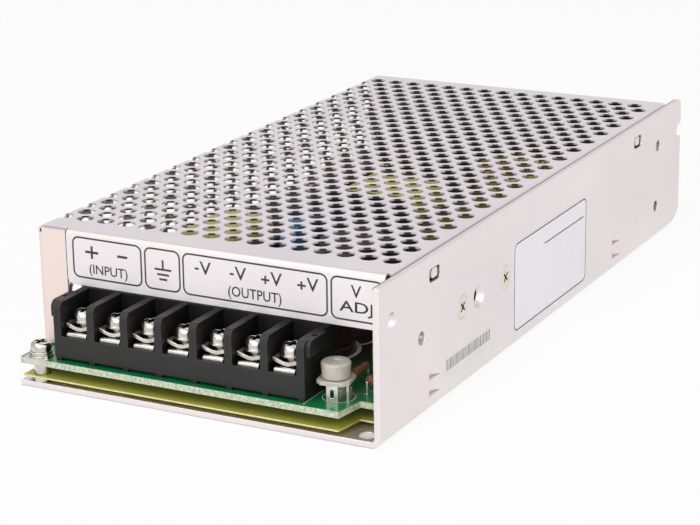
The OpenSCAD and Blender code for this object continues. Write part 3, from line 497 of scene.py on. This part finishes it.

# %% [markdown]
# ## Moulded and dipped parts
# The terminal block is black moulded plastic with a fine spark-eroded skin
# and a painted highlight that makes its edges grey. Its bays are deep, so
# little light comes back out of them, and they get painted shade, nearly
# black. The parts on the board are seen only through the holes, so their
# colours matter most: brown and black sleeves, blue, green and red dipped
# capacitors, grey pads and dark ferrite.

# %% Moulded and dipped parts
BAY_DEPTH = 0.022
# painted highlight on the block's edges
finishes["terminal_black"] = plain_finish(
    "block_plastic", (srgb(26, 23, 22), srgb(19, 17, 16)), patch=200.0, rough=(0.42, 0.56),
    grain=6000.0, lift=0.00002, edge=0.0004, edge_highlight=srgb(58, 56, 54))
# painted shade, nearly black, deep in the bays
shade_gaps(finishes["terminal_black"], BAY_DEPTH, srgb(4, 4, 4), open_share=0.88)
for slot, name, light, dark, patch, rough in (
    ("component_black", "moulded_black", (44, 43, 44), (32, 31, 32), 400.0, (0.45, 0.6)),
    ("pad_grey", "silicone_pad", (160, 160, 157), (146, 146, 143), 300.0, (0.6, 0.75)),
    ("ferrite", "ground_ferrite", (66, 66, 70), (50, 50, 54), 900.0, (0.5, 0.68)),
    ("ring_yellow", "painted_ring", (218, 208, 122), (198, 186, 98), 250.0, (0.4, 0.55)),
    ("sleeve_brown", "brown_sleeve", (74, 48, 42), (58, 36, 32), 150.0, (0.22, 0.34)),
    ("sleeve_black", "black_sleeve", (48, 48, 52), (36, 36, 40), 150.0, (0.22, 0.34)),
    ("disc_blue", "dipped_blue", (74, 152, 204), (54, 130, 186), 250.0, (0.25, 0.4)),
    ("film_green", "dipped_green", (96, 196, 104), (78, 172, 88), 250.0, (0.25, 0.4)),
    ("dipped_red", "dipped_red", (124, 42, 38), (98, 30, 28), 250.0, (0.25, 0.4)),
    ("resistor_brown", "brown_lacquer", (150, 92, 62), (124, 70, 46), 600.0, (0.3, 0.45)),
):
    finishes[slot] = plain_finish(name, (srgb(*light), srgb(*dark)), patch=patch, rough=rough)
print("with moulded parts:", len(finishes), "finishes")

# %% [markdown]
# ## The trimmer
# Its knob and frame are natural nylon: milky white, and light goes a little
# way in. A subsurface weight on the shader does that without any texture.

# %% Milky nylon
# painted highlight on the nylon's edges
finishes["trimmer_white"] = plain_finish(
    "milky_nylon", (srgb(198, 194, 182), srgb(182, 177, 165)), patch=300.0, rough=(0.34, 0.46),
    grain=3000.0, edge=0.00025, edge_highlight=srgb(226, 222, 212))
shader = shader_of(finishes["trimmer_white"])
shader.inputs["Subsurface Weight"].default_value = 0.35
shader.inputs["Subsurface Radius"].default_value = (1.0, 0.9, 0.7)
shader.inputs["Subsurface Scale"].default_value = 0.002
print("nylon ready")

# %% [markdown]
# ## Tape on the windings
# The transformer and the input choke are wrapped in yellow polyester tape.
# Each turn of tape overlaps the last, which shows as steps along the coil.
# A band pattern along Y gives those steps to the bump.

# %% Yellow tape
TAPE_TURNS = 45.0
TAPE_STEP = 0.0001
finishes["tape_yellow"] = plain_finish(
    "polyester_tape", (srgb(252, 240, 126), srgb(242, 226, 104)), patch=120.0, rough=(0.22, 0.36))
tree = finishes["tape_yellow"].node_tree
turns = add_node(
    tree, "ShaderNodeTexWave",
    {"Vector": place_on_object(tree), "Scale": TAPE_TURNS, "Distortion": 0.4},
    wave_type="BANDS", bands_direction="Y", wave_profile="SAW")
surface = shader_of(finishes["tape_yellow"]).inputs["Normal"]
stepped = add_node(
    tree, "ShaderNodeBump",
    {"Height": turns.outputs["Fac"], "Distance": TAPE_STEP, "Normal": surface.links[0].from_socket})
tree.links.new(stepped.outputs[0], surface)
print("tape steps on")

# %% [markdown]
# ## The fuse
# A cartridge fuse is a glass tube. Glass needs transmission, and a faint
# change in roughness keeps it from looking like a computer's glass.

# %% Fuse glass
finishes["fuse_glass"] = plain_finish(
    "fuse_glass", (srgb(240, 246, 246), srgb(228, 238, 238)), patch=200.0, rough=(0.02, 0.08),
    edge=0.0)
shader_of(finishes["fuse_glass"]).inputs["Transmission Weight"].default_value = 0.9
print("glass ready")


# %% [markdown]
# ## Sheets that look different on their edges
# The circuit board is glass fibre: its faces carry green lacquer, but the
# sawn edge is pale and speckled. The insulation film is the same kind of
# thing: olive on its faces, with a thin pale edge at each end. The direction
# of the surface tells the two apart, and needs no painting by hand.


# %% Board and film
EDGE_TURN = 0.5


def sheet_finish(name, face_colours, edge_colours, face_patch, edge_patch, coat, edge_test):
    """edge_test: an axis, and how its share of the direction compares with EDGE_TURN on an edge."""
    material = plain_finish(name, face_colours, patch=face_patch, rough=(0.3, 0.42),
                            edge=0.0, lift=0.000005)
    tree = material.node_tree
    speckle = use_group(tree, patches, Scale=edge_patch, Detail=4.0)["Mask"]
    sawn = blend(tree, speckle, *edge_colours)
    axis, compare = edge_test
    direction = add_node(tree, "ShaderNodeNewGeometry").outputs["Normal"]
    turned = calculate(tree, "ABSOLUTE", split(tree, direction)[axis])
    tint(material, calculate(tree, compare, turned, EDGE_TURN), sawn)
    shader_of(material).inputs["Coat Weight"].default_value = coat
    return material


finishes["board_green"] = sheet_finish(
    "green_board", (srgb(14, 128, 72), srgb(8, 108, 58)),
    (srgb(214, 220, 196), srgb(142, 160, 130)),
    face_patch=180.0, edge_patch=1400.0, coat=0.3, edge_test=("Z", "LESS_THAN"))
finishes["insulation_film"] = sheet_finish(
    "olive_film", (srgb(204, 195, 88), srgb(190, 182, 76)),
    (srgb(226, 224, 168), srgb(206, 203, 136)),
    face_patch=60.0, edge_patch=600.0, coat=0.1, edge_test=("Y", "GREATER_THAN"))
print("sheet parts ready")

# %% [markdown]
# Only the strip of board in front of the cover shows clean lacquer. Further
# in, between crowded parts, the board lies in shade and shows nothing but dark
# olive, so the lacquer is painted a dark olive shade there.

# %% The inside of the board
FRONT_STRIP = (-0.078, -0.066)
tree = finishes["board_green"].node_tree
# painted shade on the board inside the cover
inside = ramp(tree, split(tree, place_on_object(tree))["Y"], *FRONT_STRIP)
inside_shade_patches = use_group(tree, patches, Scale=90.0)["Mask"]
inside_shade = blend(tree, inside_shade_patches, srgb(54, 51, 32), srgb(34, 38, 26))
tint(finishes["board_green"], inside, inside_shade)
print("flux behind Y", FRONT_STRIP[0])

# %% [markdown]
# ## Finishes onto solids
# The record names a material slot for every solid, and each slot now has a
# finish.

# %% Finishes onto solids
for part in frame["record"]["subparts"]:
    for holder in solids[part["node"]].material_slots:
        holder.material = finishes[part["material_slot"]]


# %% [markdown]
# ## Drawing on a flat sheet
# Print, labels and pads are drawn flat on paper in millimetres, first, and
# then stood up on the face that carries them. A stroke is a one-face grid, a
# frame is such a grid with its corners bevelled, inset and emptied, and an arc
# is an edge that spins.


# %% Bars, frames and arcs
CORNER_STEPS = 6


def join(sheet, piece):
    """Adds one small drawing to a larger one."""
    mesh = bpy.data.meshes.new("scratch")
    piece.to_mesh(mesh)
    piece.free()
    sheet.from_mesh(mesh)
    bpy.data.meshes.remove(mesh)


def rectangle(low, high):
    piece = bmesh.new()
    bmesh.ops.create_grid(piece, x_segments=1, y_segments=1, size=0.5)
    bmesh.ops.scale(piece, vec=(high[0] - low[0], high[1] - low[1], 1), verts=piece.verts)
    middle = ((low[0] + high[0]) / 2, (low[1] + high[1]) / 2, 0)
    bmesh.ops.translate(piece, vec=middle, verts=piece.verts)
    return piece


def draw_bar(sheet, low, high):
    join(sheet, rectangle(low, high))


def draw_plate(sheet, low, high, radius, line=None):
    """A rectangle with round corners, or with a line width only its outline."""
    piece = rectangle(low, high)
    bmesh.ops.bevel(piece, geom=piece.verts[:], offset=radius, offset_type="OFFSET",
                    segments=CORNER_STEPS, profile=0.5, affect="VERTICES", material=-1)
    if line:
        inner = piece.faces[:]
        bmesh.ops.inset_region(piece, faces=inner, thickness=line,
                               use_boundary=True, use_even_offset=True)
        bmesh.ops.delete(piece, geom=inner, context="FACES")
    join(sheet, piece)


def draw_arc(sheet, centre, inner, outer, start, end, steps):
    """Part of a ring, or all of it, spun from one edge. Angles are in degrees."""
    piece = bmesh.new()
    ends = [piece.verts.new((centre[0] + r, centre[1], 0)) for r in (inner, outer)]
    edge = piece.edges.new(ends)
    hub = (*centre, 0)
    turn = Matrix.Rotation(math.radians(start), 3, "Z")
    bmesh.ops.rotate(piece, verts=ends, cent=hub, matrix=turn)
    bmesh.ops.spin(piece, geom=ends + [edge], cent=hub, axis=(0, 0, 1), dvec=(0, 0, 0),
                   angle=math.radians(end - start), steps=steps, use_merge=end - start == 360)
    bmesh.ops.recalc_face_normals(piece, faces=piece.faces)
    join(sheet, piece)


# %% [markdown]
# A word is a text curve that becomes a mesh and is then stretched to fill its
# box, so its size doesn't depend on the font.


# %% Words
LETTER_STEPS = 3
LETTER_WEIGHT = 0.008
SAME_POINT = 0.00001


def draw_word(sheet, word, low, high):
    """A word that fills a box from its low to its high corner."""
    curve = bpy.data.curves.new("word", "FONT")
    curve.body = word
    curve.resolution_u = LETTER_STEPS
    curve.offset = LETTER_WEIGHT
    writer = bpy.data.objects.new("word", curve)
    scene.collection.objects.link(writer)
    evaluated = writer.evaluated_get(bpy.context.evaluated_depsgraph_get())
    drawn = bpy.data.meshes.new_from_object(evaluated)
    piece = bmesh.new()
    piece.from_mesh(drawn)
    bpy.data.objects.remove(writer)
    bpy.data.curves.remove(curve)
    bpy.data.meshes.remove(drawn)
    bmesh.ops.remove_doubles(piece, verts=piece.verts, dist=SAME_POINT)
    across, along = zip(*[(v.co.x, v.co.y) for v in piece.verts])
    stretch = ((high[0] - low[0]) / (max(across) - min(across)),
               (high[1] - low[1]) / (max(along) - min(along)), 1)
    bmesh.ops.translate(piece, vec=(-min(across), -min(along), 0), verts=piece.verts)
    bmesh.ops.scale(piece, vec=stretch, verts=piece.verts)
    bmesh.ops.translate(piece, vec=(*low, 0), verts=piece.verts)
    join(sheet, piece)


# %% [markdown]
# A finished drawing is extruded to a small thickness, so that nothing flickers
# on the face below, and turned and moved onto that face. Its millimetres count
# from the case's front lower left corner.


# %% From the drawing to the part
MM = 0.001
CASE_CORNER = Vector((-0.049, -0.0991, 0))


def stand_up(name, sheet, right, up, origin, thickness, material):
    """right and up: the drawing's directions on the part; origin: where its corner goes, in mm."""
    faces = sheet.faces[:]
    for face in faces:
        if face.normal.z < 0:
            face.normal_flip()
    raised = bmesh.ops.extrude_face_region(sheet, geom=faces, use_keep_orig=True)["geom"]
    lifted = [part for part in raised if isinstance(part, bmesh.types.BMVert)]
    bmesh.ops.translate(sheet, vec=(0, 0, thickness), verts=lifted)
    bmesh.ops.reverse_faces(sheet, faces=faces)
    out = Vector(right).cross(Vector(up))
    turn = Matrix((right, up, out)).transposed().to_4x4()
    bmesh.ops.transform(sheet, matrix=turn, verts=sheet.verts)
    bmesh.ops.translate(sheet, vec=origin, verts=sheet.verts)
    bmesh.ops.scale(sheet, vec=(MM, MM, MM), verts=sheet.verts)
    bmesh.ops.translate(sheet, vec=CASE_CORNER, verts=sheet.verts)
    mesh = bpy.data.meshes.new(name)
    sheet.to_mesh(mesh)
    sheet.free()
    mesh.materials.append(material)
    piece = bpy.data.objects.new(name, mesh)
    scene.collection.objects.link(piece)
    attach(piece, "unit")
    print(name, "faces:", len(mesh.polygons))


# %% [markdown]
# ## Print and label finishes
# Ink lies flat and matt. Label film is a cool white with a soft gloss, and
# paper is warmer and quite matt. Silk print on the board is an off-white.

# %% Inks and films
inks = {}
for name, light, dark, patch, rough in (
    ("print_ink", (58, 55, 58), (46, 43, 46), 900.0, (0.5, 0.65)),
    ("label_film", (244, 241, 246), (239, 237, 243), 80.0, (0.3, 0.4)),
    ("label_paper", (241, 236, 236), (233, 228, 228), 300.0, (0.6, 0.75)),
    ("bar_ink", (158, 152, 152), (136, 130, 131), 700.0, (0.5, 0.65)),
    ("silk_print", (236, 238, 232), (216, 222, 212), 900.0, (0.5, 0.65)),
):
    inks[name] = plain_finish(
        name, (srgb(*light), srgb(*dark)), patch=patch, rough=rough, edge=0.0)
print("print finishes:", sorted(inks))

# %% [markdown]
# ## Print on the front flange
# The terminals are named above the block: plus and minus for the input, the
# earth sign, minus and plus for the output, and the trimmer. Each group has a
# thin frame with round corners. These signs are the same on any such unit.


# %% Frames and signs
LINE = 0.42
STROKE = 0.5
INPUT_STROKE = 0.62
INPUT_HEIGHT = 33.05
FRAME_LOW, FRAME_HIGH, FRAME_CORNER = 26.25, 36.65, 1.8


def draw_minus(sheet, x, z, half, stroke=STROKE):
    draw_bar(sheet, (x - half, z - stroke / 2), (x + half, z + stroke / 2))


def draw_plus(sheet, x, z, half, rise, stroke=STROKE):
    draw_minus(sheet, x, z, half, stroke)
    for side in (-1, 1):
        tip, root = z + side * rise, z + side * stroke / 2
        draw_bar(sheet, (x - stroke / 2, min(tip, root)), (x + stroke / 2, max(tip, root)))


front = bmesh.new()
for low_x, high_x in ((10.1, 29.9), (30.6, 40.6), (41.2, 79.9), (80.6, 94.2)):
    draw_plate(front, (low_x, FRAME_LOW), (high_x, FRAME_HIGH), FRAME_CORNER, LINE)
draw_plus(front, 15.7, INPUT_HEIGHT, 1.85, 1.6, INPUT_STROKE)
draw_minus(front, 24.4, INPUT_HEIGHT, 1.4, INPUT_STROKE)
print("frames and input signs:", len(front.faces), "faces")

# %% [markdown]
# The words and the output signs follow, one V for each output terminal. The
# print isn't quite level with the flange: a small tilt puts it where the
# photograph has it.

# %% Words, output and earth
for word, low, high in (
    ("(INPUT)", (14.8, 27.0), (25.7, 30.1)),
    ("(OUTPUT)", (53.55, 26.9), (67.8, 30.2)),
    ("V", (85.8, 31.95), (88.5, 34.95)),
    ("ADJ", (82.85, 27.6), (91.4, 31.0)),
):
    draw_word(front, word, low, high)
MINUS_BAYS = (44.25, 53.75)
PLUS_BAYS = (63.25, 72.75)
for bay in MINUS_BAYS + PLUS_BAYS:
    draw_word(front, "V", (bay + 1.7, 31.85), (bay + 4.8, 35.05))
for bay in MINUS_BAYS:
    draw_minus(front, bay + 0.9, 33.1, 0.55)
for bay in PLUS_BAYS:
    draw_plus(front, bay + 0.35, 32.95, 1.1, 1.0)

EARTH_X = 35.75
draw_bar(front, (EARTH_X - STROKE / 2, 31.75), (EARTH_X + STROKE / 2, 33.85))
for z, half in ((31.5, 2.3), (30.25, 1.65), (29.05, 1.1)):
    draw_minus(front, EARTH_X, z, half)

PRINT_TILT = math.radians(0.4)
PRINT_CORNER = (0, 9.8, 0.14)
INK_THICKNESS = 0.02
stand_up("front_print", front,
         (math.cos(PRINT_TILT), 0, -math.sin(PRINT_TILT)),
         (math.sin(PRINT_TILT), 0, math.cos(PRINT_TILT)),
         PRINT_CORNER, INK_THICKNESS, inks["print_ink"])

# %% [markdown]
# ## The label on the wall
# A film label with round corners fills the middle of the wall. Makers' words
# are left off: it keeps its thin frame and the rule under its heading.

# %% Wall label
WALL_X = 98
REARWARD, UPWARD = (0, 1, 0), (0, 0, 1)
FILM_THICKNESS = 0.06
FINE_INK = 0.01
label = bmesh.new()
draw_plate(label, (74.6, 3.6), (123.9, 27.6), 2.4)
stand_up("wall_label", label, REARWARD, UPWARD, (WALL_X, 0, 0), FILM_THICKNESS, inks["label_film"])
label_lines = bmesh.new()
draw_plate(label_lines, (75.0, 4.0), (123.5, 27.2), 2.0, 0.34)
draw_bar(label_lines, (94.5, 22.05), (121.5, 22.37))
stand_up("wall_label_lines", label_lines, REARWARD, UPWARD,
         (WALL_X + FILM_THICKNESS, 0, 0), FINE_INK, inks["print_ink"])

# %% [markdown]
# ## The paper strip
# A small paper strip with a row of bars is stuck low on the wall. The bars
# repeat in a plain order and stand for nothing.

# %% Paper strip
PAPER_THICKNESS = 0.05
BAR_WIDTHS = (0.3, 0.5, 0.3, 0.75)
BAR_GAP = 0.4
BAR_LOW, BAR_HIGH = 7.1, 9.9
BARS_START, BARS_END = 34.6, 60.0
strip = bmesh.new()
draw_bar(strip, (33.6, 4.45), (61.3, 10.4))
stand_up("paper_strip", strip, REARWARD, UPWARD,
         (WALL_X, 0, 0), PAPER_THICKNESS, inks["label_paper"])
bars = bmesh.new()
reach = BARS_START
count = 0
while reach < BARS_END:
    width = BAR_WIDTHS[count % len(BAR_WIDTHS)]
    draw_bar(bars, (reach, BAR_LOW), (reach + width, BAR_HIGH))
    reach += width + BAR_GAP
    count += 1
stand_up("paper_strip_bars", bars, REARWARD, UPWARD,
         (WALL_X + PAPER_THICKNESS, 0, 0), FINE_INK, inks["bar_ink"])

# %% [markdown]
# ## Print and tin on the board
# White silk print rings the trimmer, marks the block's end and outlines the
# capacitors behind it.

# %% Silk print
BOARD_TOP = 7.8
ON_BOARD = (0, 0, BOARD_TOP)
RIGHTWARD = (1, 0, 0)
SILK_THICKNESS = 0.02
silk_sheet = bmesh.new()
draw_arc(silk_sheet, (83.6, 7.8), 3.75, 3.95, 0, 360, 40)
draw_bar(silk_sheet, (78.25, 0.3), (78.45, 10.0))
draw_arc(silk_sheet, (64.0, 34.5), 9.3, 10.4, -58, 58, 20)
draw_arc(silk_sheet, (68.4, 45.0), 4.7, 5.4, -80, 100, 20)
stand_up("board_print", silk_sheet, RIGHTWARD, REARWARD,
         ON_BOARD, SILK_THICKNESS, inks["silk_print"])

# %% [markdown]
# The corner under the board screw is tinned, over the top and down the front
# edge, and tinned pads surround the trimmer's pins.

# %% Tinned pads
TIN_THICKNESS = 0.03
CORNER_LEFT, CORNER_RIGHT = 1.4, 8.2
BOARD_FRONT = -0.8
pads = bmesh.new()
draw_plate(pads, (CORNER_LEFT, -0.75), (CORNER_RIGHT, 2.9), 0.6)
for pin in ((86.0, 11.2), (87.9, 12.1), (88.9, 13.9), (90.2, 16.6)):
    draw_arc(pads, pin, 0.35, 0.95, 0, 360, 16)
stand_up("board_pads", pads, RIGHTWARD, REARWARD,
         ON_BOARD, TIN_THICKNESS, finishes["plated_metal"])
tinned_edge = bmesh.new()
draw_bar(tinned_edge, (CORNER_LEFT, 6.25), (CORNER_RIGHT, BOARD_TOP))
stand_up("tinned_edge", tinned_edge, RIGHTWARD, UPWARD,
         (0, BOARD_FRONT, 0), TIN_THICKNESS, finishes["plated_metal"])
